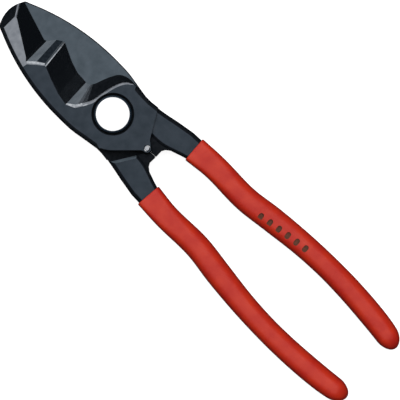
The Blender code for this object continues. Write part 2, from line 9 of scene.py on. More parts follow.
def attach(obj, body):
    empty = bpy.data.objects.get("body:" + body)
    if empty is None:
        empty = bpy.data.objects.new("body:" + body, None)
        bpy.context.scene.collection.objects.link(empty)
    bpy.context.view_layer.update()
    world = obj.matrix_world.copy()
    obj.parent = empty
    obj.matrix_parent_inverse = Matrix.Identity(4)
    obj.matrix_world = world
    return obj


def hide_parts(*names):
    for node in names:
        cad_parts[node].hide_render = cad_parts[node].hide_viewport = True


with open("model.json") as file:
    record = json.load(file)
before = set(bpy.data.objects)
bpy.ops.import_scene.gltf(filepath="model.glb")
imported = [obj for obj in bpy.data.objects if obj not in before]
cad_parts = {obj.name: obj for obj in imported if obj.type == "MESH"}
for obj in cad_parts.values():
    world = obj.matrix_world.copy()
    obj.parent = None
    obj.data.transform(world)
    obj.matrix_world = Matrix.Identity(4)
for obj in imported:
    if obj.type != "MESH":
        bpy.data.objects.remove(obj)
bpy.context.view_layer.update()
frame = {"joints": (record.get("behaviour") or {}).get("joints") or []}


# The studio -------------------------------------------------------------------------------------
# The shears lie turned on a lit white table. A wide softbox hangs over them, more to the left and
# far past their jaws, and a broad lamp leans the same way. The camera looks straight down.

MM = 0.001
LENS = 200.0
SENSOR = 36.0
VIEW_ACROSS = 155.3 * MM
VIEW_MIDDLE = (0.37 * MM, -47.33 * MM)
VIEW_LEVEL = 10.2 * MM  # the height at which the view is that wide
TURN_ON_TABLE = math.radians(-45.0)
SOFTBOX_HEIGHT = 1.3
SOFTBOX_LEFT = -1.3  # this and the next three are shares of its height
SOFTBOX_RIGHT = 0.62
SOFTBOX_NEAR = -0.6
SOFTBOX_FAR = 6.0
SOFTBOX_RADIANCE = 1.12
LAMP_STRENGTH = 3.2
LAMP_SPREAD = math.radians(40.0)
LAMP_TILT = math.radians(18.0)
ROOM_GREY = (0.022, 0.025, 0.03, 1)  # what the shears mirror beside the softbox
BACKDROP_WHITE = (1, 1, 1, 1)
TABLE_HALF = 6.0
TABLE_PAINT = (0.3, 0.3, 0.3, 1)
TABLE_ROUGHNESS = 0.9
TABLE_GLOW = 0.88


def put(name, data):
    made = bpy.data.objects.new(name, data)
    bpy.context.scene.collection.objects.link(made)
    return made


def studio():
    scene = bpy.context.scene
    scene.view_settings.view_transform = "Standard"
    view = bpy.data.cameras.new("camera")
    view.lens = LENS
    view.sensor_width = SENSOR
    camera = put("camera", view)
    camera.location = (*VIEW_MIDDLE, VIEW_LEVEL + VIEW_ACROSS * LENS / SENSOR)
    camera.rotation_euler = (0, 0, TURN_ON_TABLE)
    scene.camera = camera

    box = bpy.data.lights.new("softbox", "AREA")
    box.shape = "RECTANGLE"
    box.size = (SOFTBOX_RIGHT - SOFTBOX_LEFT) * SOFTBOX_HEIGHT
    box.size_y = (SOFTBOX_FAR - SOFTBOX_NEAR) * SOFTBOX_HEIGHT
    box.energy = SOFTBOX_RADIANCE * math.pi * box.size * box.size_y
    hung = put("softbox", box)
    middle = Vector(((SOFTBOX_LEFT + SOFTBOX_RIGHT) / 2, (SOFTBOX_NEAR + SOFTBOX_FAR) / 2, 1))
    hung.location = Matrix.Rotation(TURN_ON_TABLE, 3, "Z") @ middle * SOFTBOX_HEIGHT
    hung.rotation_euler = (0, 0, TURN_ON_TABLE)

    lamp = bpy.data.lights.new("overhead_lamp", "SUN")
    lamp.energy = LAMP_STRENGTH
    lamp.angle = LAMP_SPREAD
    overhead = put("overhead_lamp", lamp)
    overhead.visible_glossy = False
    overhead.rotation_euler = (-LAMP_TILT, 0, TURN_ON_TABLE)

    world = bpy.data.worlds.new("room")
    scene.world = world
    world.use_nodes = True
    nodes = world.node_tree.nodes
    links = world.node_tree.links
    room = nodes["Background"]
    room.inputs["Color"].default_value = ROOM_GREY
    backdrop = nodes.new("ShaderNodeBackground")
    backdrop.inputs["Color"].default_value = BACKDROP_WHITE
    path = nodes.new("ShaderNodeLightPath")
    mix = nodes.new("ShaderNodeMixShader")
    links.new(path.outputs["Is Camera Ray"], mix.inputs[0])
    links.new(room.outputs[0], mix.inputs[1])
    links.new(backdrop.outputs[0], mix.inputs[2])
    links.new(mix.outputs[0], nodes["World Output"].inputs["Surface"])

    paint = bpy.data.materials.new("table_white")
    paint.use_nodes = True
    shader = paint.node_tree.nodes["Principled BSDF"]
    shader.inputs["Base Color"].default_value = TABLE_PAINT
    shader.inputs["Roughness"].default_value = TABLE_ROUGHNESS
    shader.inputs["Specular IOR Level"].default_value = 0.0
    shader.inputs["Emission Color"].default_value = BACKDROP_WHITE
    shader.inputs["Emission Strength"].default_value = TABLE_GLOW
    top = bmesh.new()
    bmesh.ops.create_grid(top, x_segments=1, y_segments=1, size=TABLE_HALF)
    mesh = bpy.data.meshes.new("table")
    top.to_mesh(mesh)
    top.free()
    mesh.materials.append(paint)
    table = put("table", mesh)
    table.visible_glossy = False
    table.visible_diffuse = False


studio()


# The two forged halves --------------------------------------------------------------------------
# Each is one drop-forged lever of tool steel: jaw, flat joint boss and handle tang. The two jaw
# notches are ground on it, the joint faces are milled, and the whole is burnished black.

JAW_REACH = 57.7
HANDLE_REACH = 142.0
HEAD_HALF_WIDTH = 15.95
WIDEST_AT = 15.0
HALF_THICKNESS = 6.0
SHEAR_LEVEL = 0.15
TIP_RADIUS = 11.5
TIP_HALF_WIDTH = 7.7
TIP_CORNER = 3.9
TIP_CORNER_FROM = 0.7  # share of the tip's half width where its corner begins
OUTER_ROUND = 1.6
NOSE_START = 37.5
NOSE_SLOPE = math.radians(4.5)
TIP_RUN = 4.1
TIP_SLOPE = math.radians(40.0)
REAR_NOTCH = 16.4
TOOTH = 33.3
FRONT_NOTCH = 38.9
NOTCH_OVERLAP = 1.2
TOOTH_OVERLAP = 6.6
GRIND_WIDTH = 11.5
TIP_GRIND_WIDTH = 5.2
BOSS_RADIUS = 14.2
WAIST_HALF_WIDTH = 13.9
WAIST_AT = -4.5
HEEL_RADIUS = 17.6
HEEL_SLOPE = math.radians(31.0)
HEEL_START = 4.4
HEEL_PAST_WAIST = 0.4
STEP_RUN = 1.2
BOSS_PAST_WAIST = 1.2
RECESS_WALL = 0.4  # between the recess and the rear notch's ground face
RECESS_RADIUS = 8.0
RECESS_FLOOR = 3.4
NECK_RADIUS = 5.5
NECK_FLATS = 9.4
JOURNAL_RADIUS = 5.0
FIT = 0.2
SEAT = 0.3
NUT_RECESS_RADIUS = 8.306
NUT_RECESS_FLOOR = 2.85
PIN_RADIUS = 1.0
PIN_AT = -18.7
PIN_WAY_OUT = 24.0  # degrees about the pivot
CORNER_RADIUS = 1.9
CORNER_LEAD_IN = 0.5
LOBE_TOP = -20.9
LOBE_HALF_THICKNESS = 3.6
LOBE_DEPTH = 2.4
LOBE_GAP = 0.04
LOBE_CORNER = 0.3
TANG_HALF_THICKNESS = 4.6
TANG_CORNER = 1.6
OUTER_CORNER = 2.2  # on the side of the bare tang that is away from the other one
GRIP_MOUTH = 31.8
GRIP_WALL = 1.3
MOUTH_WALL = 0.75
MOUTH_RUN = 4.0
TANG_END_COVER = 3.6
TANG_END_WIDTH = 0.6
TANG_END_THICKNESS = 0.75
CUT_PAST = 2.0
CURVE_STEPS = 4
WAIST_STEPS = 3
BARE_TANG_STEPS = 5
COVERED_TANG_STEPS = 36
TIP_STEPS = 6
RIM_SEGMENTS = 6
GROUND_EDGE = 0.7
BOSS_EDGE = 0.3
SHEAR_EDGE = 0.4
RIDGE_EDGE = 0.2
BRIGHT_CORNERS = -5.0  # left of this, the roundings of the ground faces' edges that face the softbox get the lighter edge steel: a painted highlight
HEEL_CHAMFER = 1.1  # on the tang, and half of it down the wall
HEEL_CHAMFER_SLOPE = math.atan(0.5)
HEEL_CUTTER_PAST = 3.0
HEEL_CUTTER_WIDTH = 4.0
HEEL_CUTTER_DEPTH = 2.0
JOINT_FACE_END = -3.0
RECESS_CHAMFER = 0.3
ROUND_SIDES = 96
FLAT_AREA = 6 * MM**2  # a ground face larger than this is flat
# how far a face looks up: the height of its normal
LEVEL = 0.999
NEARLY_LEVEL = 0.98
TANG_LEVEL = 0.97
GROUND_TILT = 0.76
UPRIGHT = 0.1
FACING_DOWN = -0.9
# how far it looks towards the jaws' tip
TIP_CHAMFER_FACING = 0.6
# roundings that look further towards the tip than this face the softbox and get painted highlights; the
# others get painted shade
BRIGHT_FACING = 0.12
# the narrow strip with painted shade and the ridge with a painted highlight line: distance of the
# middle from the tooth's tip, half width
STRIP_BESIDE_TOOTH = (1.2, 0.4)
RIDGE_BESIDE_TOOTH = (-0.9, 0.3)
SHEAR_PLANE = frame["joints"][0]["pos_m"][2] / MM

# distance behind the pivot, inner and outer edge of the bare tang
BARE_TANG = (
    (9.0, 5.2, 13.9),
    (13.0, 4.7, 14.4),
    (17.0, 4.4, 15.1),
    (21.0, 4.7, 15.9),
    (25.0, 5.9, 16.6),
    (28.0, 6.9, 17.1),
)
# share of the way along the grip, distance of its middle from the centre line, width over the grip
HANDLE_CURVE = (
    (0.00, 12.6, 10.7),
    (0.10, 13.45, 10.05),
    (0.25, 13.2, 10.1),
    (0.37, 14.85, 10.25),
    (0.50, 16.35, 9.7),
    (0.62, 17.0, 9.45),
    (0.73, 16.85, 9.6),
    (0.84, 16.05, 9.7),
    (0.93, 14.9, 9.35),
    (1.00, 13.3, 8.2),
)

# Places in the halves' list of finishes. The edge and nose finishes also make painted highlights, the
# strip and the forged black painted shade.
BLACK, FORGED_AND_SHADE, GROUND, EDGE, MILLED, NOSE, STRIP = range(7)


def noise(tree, grain, stretch=(1, 1, 1), detail=4.0):
    """A pattern whose blotches are about that many millimetres across, in the piece's own place."""
    nodes = tree.nodes
    place = nodes.new("ShaderNodeTexCoord")
    mapping = nodes.new("ShaderNodeMapping")
    mapping.inputs["Scale"].default_value = stretch
    pattern = nodes.new("ShaderNodeTexNoise")
    pattern.inputs["Scale"].default_value = 1 / (grain * MM)
    pattern.inputs["Detail"].default_value = detail
    tree.links.new(place.outputs["Object"], mapping.inputs["Vector"])
    tree.links.new(mapping.outputs["Vector"], pattern.inputs["Vector"])
    return pattern.outputs["Fac"]


def between(tree, share, low, high, start=0.3, end=0.7):
    """A number that goes from low to high as the share goes from start to end."""
    span = tree.nodes.new("ShaderNodeMapRange")
    span.inputs["From Min"].default_value = start
    span.inputs["From Max"].default_value = end
    span.inputs["To Min"].default_value = low
    span.inputs["To Max"].default_value = high
    tree.links.new(share, span.inputs["Value"])
    return span.outputs["Result"]


def blend_of(tree, share, low, high):
    """A colour that goes from low to high as the share goes from 0.3 to 0.7."""
    mix = tree.nodes.new("ShaderNodeMix")
    mix.data_type = "RGBA"
    mix.inputs["A"].default_value = (*low, 1)
    mix.inputs["B"].default_value = (*high, 1)
    tree.links.new(between(tree, share, 0, 1), mix.inputs["Factor"])
    return mix.outputs["Result"]


def finish(
    name, dark, light, blotch, rough, grain, depth, metallic=0.0, specular=0.5, stretch=(1, 1, 1)
):
    """A worked surface: blotchy colour, uneven gloss and a fine relief of that depth in millimetres."""
    material = bpy.data.materials.new(name)
    material.use_nodes = True
    tree = material.node_tree
    shader = tree.nodes["Principled BSDF"]
    shader.inputs["Metallic"].default_value = metallic
    shader.inputs["Specular IOR Level"].default_value = specular
    blotches = noise(tree, blotch, stretch)
    tree.links.new(blend_of(tree, blotches, dark, light), shader.inputs["Base Color"])
    tree.links.new(between(tree, blotches, rough[1], rough[0]), shader.inputs["Roughness"])
    relief = tree.nodes.new("ShaderNodeBump")
    relief.inputs["Distance"].default_value = depth * MM
    relief.inputs["Strength"].default_value = 1.0
    tree.links.new(noise(tree, grain, stretch, 3.0), relief.inputs["Height"])
    tree.links.new(relief.outputs["Normal"], shader.inputs["Normal"])
    return material


BLACK_FACE = finish(
    "burnished_black",
    (0.007, 0.013, 0.020),
    (0.012, 0.019, 0.028),
    3.5,
    (0.36, 0.46),
    0.25,
    0.004,
    specular=0.27,
)
# Matte black of the forged sides, partly painted shade: it is darker and duller than black steel, so
# that rims and sides stay black as if unlit. It also paints shade on edge roundings that turn from the
# softbox and on the milled floor of the joint clearance.
FORGED_SIDE_AND_SHADE = finish(
    "forged_skin_black_and_painted_shade",
    (0.002, 0.003, 0.004),
    (0.005, 0.006, 0.008),
    1.5,
    (0.5, 0.65),
    0.5,
    0.02,
    specular=0.06,
)
GROUND_BLACK = finish(
    "ground_steel_dark",
    (0.095, 0.112, 0.13),
    (0.13, 0.148, 0.168),
    2.0,
    (0.19, 0.26),
    0.35,
    0.004,
    metallic=1.0,
    stretch=(0.12, 1, 1),
)
# A lighter steel for the edge roundings that face the softbox and for the ridge: a painted highlight.
EDGE_PAINTED_HIGHLIGHT = finish(
    "edge_steel_painted_highlight",
    (0.26, 0.28, 0.31),
    (0.5, 0.52, 0.55),
    0.8,
    (0.25, 0.4),
    0.3,
    0.004,
    metallic=1.0,
)
MILLED_FACE = finish(
    "milled_steel_black",
    (0.066, 0.084, 0.101),
    (0.084, 0.104, 0.124),
    4.0,
    (0.34, 0.44),
    0.3,
    0.004,
    metallic=1.0,
)
# The nose's ground steel, lighter than the other ground faces partly as a painted highlight. The
# roundings along the top edges of the ground faces and of the tip take it as painted highlight lines.
NOSE_FACE_AND_HIGHLIGHT = finish(
    "ground_nose_steel_and_painted_highlight",
    (0.17, 0.185, 0.21),
    (0.24, 0.255, 0.28),
    2.5,
    (0.28, 0.38),
    0.3,
    0.004,
    metallic=1.0,
)
# A far darker ground steel for the narrow strip beside the tooth: painted shade.
STRIP_PAINTED_SHADE = finish(
    "ground_strip_painted_shade",
    (0.010, 0.015, 0.020),
    (0.020, 0.026, 0.034),
    1.0,
    (0.3, 0.4),
    0.3,
    0.004,
    metallic=1.0,
)
STEEL_FINISHES = (BLACK_FACE, FORGED_SIDE_AND_SHADE, GROUND_BLACK, EDGE_PAINTED_HIGHLIGHT, MILLED_FACE, NOSE_FACE_AND_HIGHLIGHT, STRIP_PAINTED_SHADE)


def arc(centre, radius, start, end, count):
    """Points on an arc, with both ends, angles in degrees from +X."""
    points = []
    for i in range(count + 1):
        angle = math.radians(start + (end - start) * i / count)
        points.append((centre[0] + radius * math.cos(angle), centre[1] + radius * math.sin(angle)))
    return points


def between_knots(a, b, c, d, slope_b, slope_c, t):
    bend = 2 * (b - c) + slope_b + slope_c
    return b + t * (slope_b + t * (c - b - slope_b - bend + t * bend))


def spline(knots, steps=CURVE_STEPS):
    """A smooth curve through the knots, each a tuple of numbers."""
    ends = [knots[0], *knots, knots[-1]]
    points = []
    for i in range(1, len(ends) - 2):
        for s in range(steps):
            point = []
            for a, b, c, d in zip(ends[i - 1], ends[i], ends[i + 1], ends[i + 2]):
                point.append(between_knots(a, b, c, d, (c - a) / 2, (d - b) / 2, s / steps))
            points.append(tuple(point))
    points.append(tuple(knots[-1]))
    return points


def knot_value(knots, where):
    """The knots' other numbers at a place between two of them: their first number says where."""
    for low, high in zip(knots, knots[1:]):
        if where <= high[0]:
            break
    index = knots.index(low)
    before = knots[max(0, index - 1)]
    after = knots[min(len(knots) - 1, index + 2)]
    run = high[0] - low[0]
    t = min(1.0, max(0.0, (where - low[0]) / run))
    values = []
    for a, b, c, d in zip(before[1:], low[1:], high[1:], after[1:]):
        slope_b = (c - a) * run / (high[0] - before[0])
        slope_c = (d - b) * run / (after[0] - low[0])
        values.append(between_knots(a, b, c, d, slope_b, slope_c, t))
    return values


def ease(share):
    share = min(1.0, max(0.0, share))
    return share * share * (3 - 2 * share)


def painted(made, place):
    """Gives every face of the shape the finish at that place of its list."""
    for face in made.faces:
        face.material_index = place
    return made


def prism(points, low, high, place=FORGED_AND_SHADE):
    """An upright solid over an outline."""
    made = bmesh.new()
    base = made.faces.new([made.verts.new((x, y, low)) for x, y in points])
    top = bmesh.ops.extrude_face_region(made, geom=[base])["geom"]
    moved = [v for v in top if isinstance(v, bmesh.types.BMVert)]
    bmesh.ops.translate(made, verts=moved, vec=(0, 0, high - low))
    bmesh.ops.recalc_face_normals(made, faces=made.faces)
    return painted(made, place)


def turned(profile, place=FORGED_AND_SHADE, sides=ROUND_SIDES):
    """A solid of revolution from (radius, height) points."""
    made = bmesh.new()
    points = [made.verts.new((radius, 0, height)) for radius, height in profile]
    edges = [made.edges.new(pair) for pair in zip(points, points[1:])]
    if profile[0][0] > 0:
        edges.append(made.edges.new((points[-1], points[0])))
    bmesh.ops.spin(
        made,
        geom=points + edges,
        axis=(0, 0, 1),
        cent=(0, 0, 0),
        angle=2 * math.pi,
        steps=sides,
        use_merge=True,
        use_duplicate=False,
    )
    bmesh.ops.remove_doubles(made, verts=made.verts, dist=1e-4)
    bmesh.ops.recalc_face_normals(made, faces=made.faces)
    return painted(made, place)


def swept(stations, section, place=FORGED_AND_SHADE):
    """A closed solid through sections set square to the line of the stations' centres."""
    made = bmesh.new()
    rings = []
    for i, (x, y, *size) in enumerate(stations):
        before = stations[max(0, i - 1)]
        after = stations[min(len(stations) - 1, i + 1)]
        along = Vector((after[0] - before[0], after[1] - before[1], 0)).normalized()
        across = Vector((-along.y, along.x, 0))
        ring = []
        for sx, sz in section(*size):
            ring.append(made.verts.new(Vector((x, y, sz)) + across * sx))
        rings.append([made.edges.new(pair) for pair in zip(ring, ring[1:] + ring[:1])])
    for first, second in zip(rings, rings[1:]):
        bmesh.ops.bridge_loops(made, edges=first + second)
    for end in (rings[0], rings[-1]):
        bmesh.ops.contextual_create(made, geom=end)
    bmesh.ops.recalc_face_normals(made, faces=made.faces)
    return painted(made, place)


def mesh_of(made, name):
    mesh = bpy.data.meshes.new(name)
    made.to_mesh(mesh)
    made.free()
    return mesh


def worked(base, steps, finishes):
    """The bmesh with the other shapes joined or cut in turn, as a mesh in millimetres."""
    body = put("workpiece", mesh_of(base, "workpiece"))
    for material in finishes:
        body.data.materials.append(material)
    tools = []
    for operation, shape in steps:
        tool = put("tool", mesh_of(shape, "tool"))
        for material in finishes:
            tool.data.materials.append(material)
        tools.append(tool)
        modifier = body.modifiers.new("work", "BOOLEAN")
        modifier.operation = operation
        modifier.solver = "EXACT"
        modifier.material_mode = "INDEX"
        modifier.object = tool
    done = bpy.data.meshes.new_from_object(body.evaluated_get(bpy.context.evaluated_depsgraph_get()))
    for made in [body, *tools]:
        bpy.data.objects.remove(made)
    return done


def piece(name, mesh, node, body, turn=Matrix.Identity(4), crease=32.0):
    """Puts a finished mesh where its node is, smooth between its creases."""
    mesh.transform(Matrix.Scale(MM, 4) @ Matrix.Translation((0, 0, SHEAR_PLANE)) @ turn)
    mesh.name = name
    mesh.shade_smooth()
    mesh.set_sharp_from_angle(angle=math.radians(crease))
    for face in mesh.polygons:
        if face.area > FLAT_AREA and face.material_index in (GROUND, NOSE, STRIP, MILLED):
            face.use_smooth = False
    made = put(name, mesh)
    even = made.modifiers.new("even_shading", "WEIGHTED_NORMAL")
    even.keep_sharp = True
    even.weight = 90
    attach(made, body)
    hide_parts(node)
    return made


def tip_height(x):
    """The blunt front end of the jaws, at a distance from the centre line."""
    return JAW_REACH - TIP_RADIUS + math.sqrt(TIP_RADIUS**2 - x**2)


def side_of_head():
    """The left silhouette, from the tip's corner down to the boss: one long arc, then the waist."""
    run = JAW_REACH - TIP_CORNER - WIDEST_AT
    rise = HEAD_HALF_WIDTH - TIP_HALF_WIDTH
    radius = (run**2 + rise**2) / (2 * rise)
    centre = (radius - HEAD_HALF_WIDTH, WIDEST_AT)
    start = 180.0 - math.degrees(math.asin(run / radius))
    corner_x = TIP_HALF_WIDTH * TIP_CORNER_FROM
    corner = spline(
        [
            (-corner_x, tip_height(corner_x)),
            (-TIP_HALF_WIDTH * 0.9, JAW_REACH - TIP_CORNER * 0.55),
            (-TIP_HALF_WIDTH, JAW_REACH - TIP_CORNER),
        ]
    )
    side = arc(centre, radius, start, 180.0, 30)
    waist = spline(
        [
            (-HEAD_HALF_WIDTH, WIDEST_AT),
            (-HEAD_HALF_WIDTH + 0.2, WIDEST_AT * 0.55 + WAIST_AT * 0.2),
            (-(HEAD_HALF_WIDTH + 2 * WAIST_HALF_WIDTH) / 3, 0.0),
            (-WAIST_HALF_WIDTH, WAIST_AT),
        ]
    )
    return corner[:-1] + side + waist[1:]


def boss_edge():
    """From the left end of the waist, round the boss, to the corner that holds the pin."""
    start = 180.0 + math.degrees(math.asin((BOSS_PAST_WAIST - WAIST_AT) / BOSS_RADIUS))
    boss = arc((0.0, 0.0), BOSS_RADIUS, start, 225.0, 10)
    reach = BOSS_RADIUS * math.sqrt(2)
    lead_in = CORNER_RADIUS + CORNER_LEAD_IN
    corner = arc((0.0, PIN_AT), CORNER_RADIUS, 175.0, 300.0, 16)
    return [*boss, (-lead_in, lead_in - reach), *corner]


def heel_line(offset):
    """Two points of the line along the heel wall on the right, moved away from the pivot by offset."""
    square = (math.sin(HEEL_SLOPE), -math.cos(HEEL_SLOPE))
    foot = (square[0] * (HEEL_RADIUS + offset), square[1] * (HEEL_RADIUS + offset))
    ends = []
    for x in (HEEL_START, WAIST_HALF_WIDTH + HEEL_PAST_WAIST):
        run = (x - foot[0]) / math.cos(HEEL_SLOPE)
        ends.append((x, foot[1] + run * math.sin(HEEL_SLOPE)))
    return ends


def ground_faces():
    """Pairs of points from the boss to the tip, one on the shear plane and one on the outer face."""
    shoulder = RECESS_RADIUS + RECESS_WALL
    side = WAIST_HALF_WIDTH
    notch_face = NOTCH_OVERLAP - GRIND_WIDTH
    shear_curve = [
        (side + 0.5, REAR_NOTCH - 12.0),
        (side, REAR_NOTCH - 9.3),
        (side - 1.4, REAR_NOTCH - 7.0),
        (side - 4.3, REAR_NOTCH - 5.2),
        (side - 7.4, REAR_NOTCH - 3.9),
        (NOTCH_OVERLAP + 2.1, REAR_NOTCH - 2.7),
        (NOTCH_OVERLAP + 0.6, REAR_NOTCH - 1.6),
    ]
    face_curve = [
        (side + 0.2, shoulder - 7.6),
        (side - 0.6, shoulder - 4.6),
        (side - 2.8, shoulder - 2.6),
        (side - 6.4, shoulder - 1.1),
        (2.6, shoulder),
        (-2.6, shoulder + 0.9),
        (notch_face + 2.2, shoulder + 4.1),
    ]
    pairs = list(zip(spline(shear_curve), spline(face_curve)))
    tooth_face = TOOTH_OVERLAP - GRIND_WIDTH - 0.4
    rise = TOOTH - REAR_NOTCH
    pairs += [
        ((NOTCH_OVERLAP + 0.2, REAR_NOTCH), (notch_face, REAR_NOTCH - 0.9)),
        ((NOTCH_OVERLAP + 0.5, REAR_NOTCH + 0.30 * rise), (notch_face + 1.2, REAR_NOTCH + 0.24 * rise)),
        ((NOTCH_OVERLAP + 1.9, REAR_NOTCH + 0.56 * rise), (notch_face + 2.6, REAR_NOTCH + 0.54 * rise)),
        ((TOOTH_OVERLAP, TOOTH), (tooth_face, TOOTH - 1.8)),
        ((TOOTH_OVERLAP - 0.3, TOOTH + 0.9), (tooth_face, TOOTH - 0.9)),
        ((TOOTH_OVERLAP - 1.7, TOOTH + 3.0), (tooth_face - 1.7, TOOTH + 1.7)),
        ((NOTCH_OVERLAP + 0.7, FRONT_NOTCH - 0.2), (notch_face + 0.6, FRONT_NOTCH - 0.9)),
        ((NOTCH_OVERLAP + 0.4, FRONT_NOTCH + 0.9), (notch_face + 1.8, FRONT_NOTCH + 0.3)),
    ]
    return pairs


def round_over(made, edges, width, segments, place):
    """Bevels what is left of the edges round, and gives the new faces that finish."""
    result = bmesh.ops.bevel(
        made,
        geom=[edge for edge in edges if edge.is_valid],
        offset=width,
        segments=segments,
        profile=0.5,
        affect="EDGES",
        material=-1,
    )
    for face in result["faces"]:
        face.material_index = place


def beside_tooth(point, where):
    return abs(point.y - TOOTH - where[0]) < where[1]


def plate():
    """The jaw and the joint boss of the front half, above the shear plane, with its edges rounded."""
    edge_end = TOOTH_OVERLAP
    face_end = TOOTH_OVERLAP - TIP_GRIND_WIDTH
    left_end = -TIP_HALF_WIDTH * TIP_CORNER_FROM
    shear = []
    face = []
    for i in range(TIP_STEPS):
        share = i / TIP_STEPS
        shear_x = edge_end + (left_end - edge_end) * share
        face_x = face_end + (left_end - face_end) * share
        shear.append((shear_x, tip_height(shear_x)))
        face.append((face_x, tip_height(face_x)))
    step_inner, step_outer = heel_line(-STEP_RUN)
    shared = side_of_head() + boss_edge() + [(HEEL_START - 1.2, step_inner[1] - 0.6), step_outer]
    shared += spline(
        [
            (WAIST_HALF_WIDTH, WAIST_AT * 1.6),
            (WAIST_HALF_WIDTH, WAIST_AT),
            (WAIST_HALF_WIDTH + 0.1, WAIST_AT * 0.35),
            (WAIST_HALF_WIDTH + 0.3, 0.3),
        ],
        WAIST_STEPS,
    )
    shear += shared
    face += shared
    for on_shear, on_face in ground_faces():
        shear.append(on_shear)
        face.append(on_face)
    made = prism(shear, SHEAR_LEVEL, HALF_THICKNESS)
    made.verts.ensure_lookup_table()
    for vert, (x, y) in zip(made.verts[len(shear) :], face):
        vert.co.x = x
        vert.co.y = y
    bmesh.ops.recalc_face_normals(made, faces=made.faces)
    tip_start = JAW_REACH - TIP_RUN
    nose_drop = (tip_start - NOSE_START) * math.tan(NOSE_SLOPE)
    for start, level, slope in (
        (NOSE_START, HALF_THICKNESS, NOSE_SLOPE),
        (tip_start, HALF_THICKNESS - nose_drop, TIP_SLOPE),
    ):
        cut = bmesh.ops.bisect_plane(
            made,
            geom=made.verts[:] + made.edges[:] + made.faces[:],
            plane_co=(0, start, level),
            plane_no=(0, math.sin(slope), math.cos(slope)),
            clear_outer=True,
        )["geom_cut"]
        bmesh.ops.contextual_create(made, geom=[e for e in cut if isinstance(e, bmesh.types.BMEdge)])
        bmesh.ops.recalc_face_normals(made, faces=made.faces)
    under = [side for side in made.faces if side.normal.z < FACING_DOWN]
    under_edges = [edge for side in under for edge in side.edges]
    under_verts = [vert for side in under for vert in side.verts]
    bmesh.ops.bisect_plane(
        made,
        geom=under + under_edges + under_verts,
        plane_co=(0, JOINT_FACE_END, 0),
        plane_no=(0, 1, 0),
    )
    for side in made.faces:
        middle = side.calc_center_median()
        if side.normal.z < FACING_DOWN and middle.y > JOINT_FACE_END:
            side.material_index = MILLED
        elif side.normal.z > LEVEL:
            side.material_index = BLACK
        elif side.normal.z > NEARLY_LEVEL:
            side.material_index = NOSE
        elif side.normal.z > GROUND_TILT and side.normal.y < TIP_CHAMFER_FACING:
            side.material_index = GROUND
            # the narrow strip beside the tooth that faces the tip gets the far darker steel: painted
            # shade
            if side.normal.y > 0 and beside_tooth(middle, STRIP_BESIDE_TOOTH):
                side.material_index = STRIP
    rim = []
    inner_rim = []
    boss = []
    corner = []
    crest = []
    front = []
    dull = []
    ridge = []
    for edge in made.edges:
        if len(edge.link_faces) != 2:
            continue
        low, high = sorted(edge.link_faces, key=lambda side: side.normal.z)
        middle = (edge.verts[0].co + edge.verts[1].co) / 2
        lowest = WAIST_AT if middle.x < 0 else step_outer[1]
        if high.normal.z > NEARLY_LEVEL and abs(low.normal.z) < UPRIGHT:
            (rim if middle.y > lowest else boss).append(edge)
        elif low.normal.z < FACING_DOWN and abs(high.normal.z) < UPRIGHT:
            if middle.x < 0 and middle.y > JOINT_FACE_END:
                inner_rim.append(edge)
        elif middle.y > tip_start - 0.1 and low.normal.z > 0.5 and high.normal.z - low.normal.z > 0.01:
            front.append(edge)
        elif high.normal.z > NEARLY_LEVEL and 0.2 < low.normal.z < 0.97:
            # an edge whose ground face turns from the softbox is rounded in forged black, as painted
            # shade; the others are rounded in lighter steel, as painted highlights
            if low.normal.y < BRIGHT_FACING:
                dull.append(edge)
            elif middle.x < BRIGHT_CORNERS:
                corner.append(edge)
            else:
                crest.append(edge)
        elif high.normal.z < 0.97 and low.normal.z > GROUND_TILT:
            turn = high.normal.y * low.normal.y < 0
            if turn and beside_tooth(middle, RIDGE_BESIDE_TOOTH):
                ridge.append(edge)
    # the rim's rounding takes the forged black, which stands in for the shade of the unlit sides
    round_over(made, rim, OUTER_ROUND, RIM_SEGMENTS, FORGED_AND_SHADE)
    round_over(made, inner_rim, SHEAR_EDGE, 2, FORGED_AND_SHADE)
    # the ridge's rounding takes the lighter edge steel: a painted highlight line
    round_over(made, ridge, RIDGE_EDGE, 2, EDGE)
    # the roundings of the crest, corners and tip take the lighter nose steel: painted highlight lines
    round_over(made, crest + corner + front, GROUND_EDGE, 3, NOSE)
    # those left of BRIGHT_CORNERS that face the softbox take the still lighter edge steel: a brighter
    # painted highlight
    for side in made.faces:
        middle = side.calc_center_median()
        if side.material_index == NOSE and middle.x < BRIGHT_CORNERS and side.normal.y > BRIGHT_FACING:
            side.material_index = EDGE
    # the dull edges' roundings take the forged black: painted shade
    round_over(made, dull + boss, BOSS_EDGE, 2, FORGED_AND_SHADE)
    return made


def handle_at(share):
    """Centre, width and wall of the covered handle, at a share of the way from the grip's mouth."""
    length = HANDLE_REACH - GRIP_MOUTH
    x, width = knot_value(HANDLE_CURVE, share)
    wall = MOUTH_WALL + (GRIP_WALL - MOUTH_WALL) * ease(share * length / MOUTH_RUN)
    return (x, -GRIP_MOUTH - share * length), width, wall


def bare_stations():
    stations = []
    for y, inner, outer in spline(BARE_TANG, BARE_TANG_STEPS):
        stations.append(((inner + outer) / 2, -y, (outer - inner) / 2, TANG_HALF_THICKNESS))
    return stations


def covered_stations():
    """The tang inside the grip, which ends narrower."""
    stations = []
    length = HANDLE_REACH - GRIP_MOUTH
    last = 1 - TANG_END_COVER / length
    for i in range(COVERED_TANG_STEPS + 1):
        share = last * i / COVERED_TANG_STEPS
        (x, y), width, wall = handle_at(share)
        growth = (GRIP_WALL - MOUTH_WALL) * ease(share * length / MOUTH_RUN)
        half_thickness = TANG_HALF_THICKNESS - growth
        stations.append((x, y, width / 2 - wall, half_thickness))
    x, y, half_width, half_thickness = stations[-1]
    stations[-1] = (x, y, half_width * TANG_END_WIDTH, half_thickness * TANG_END_THICKNESS)
    return stations


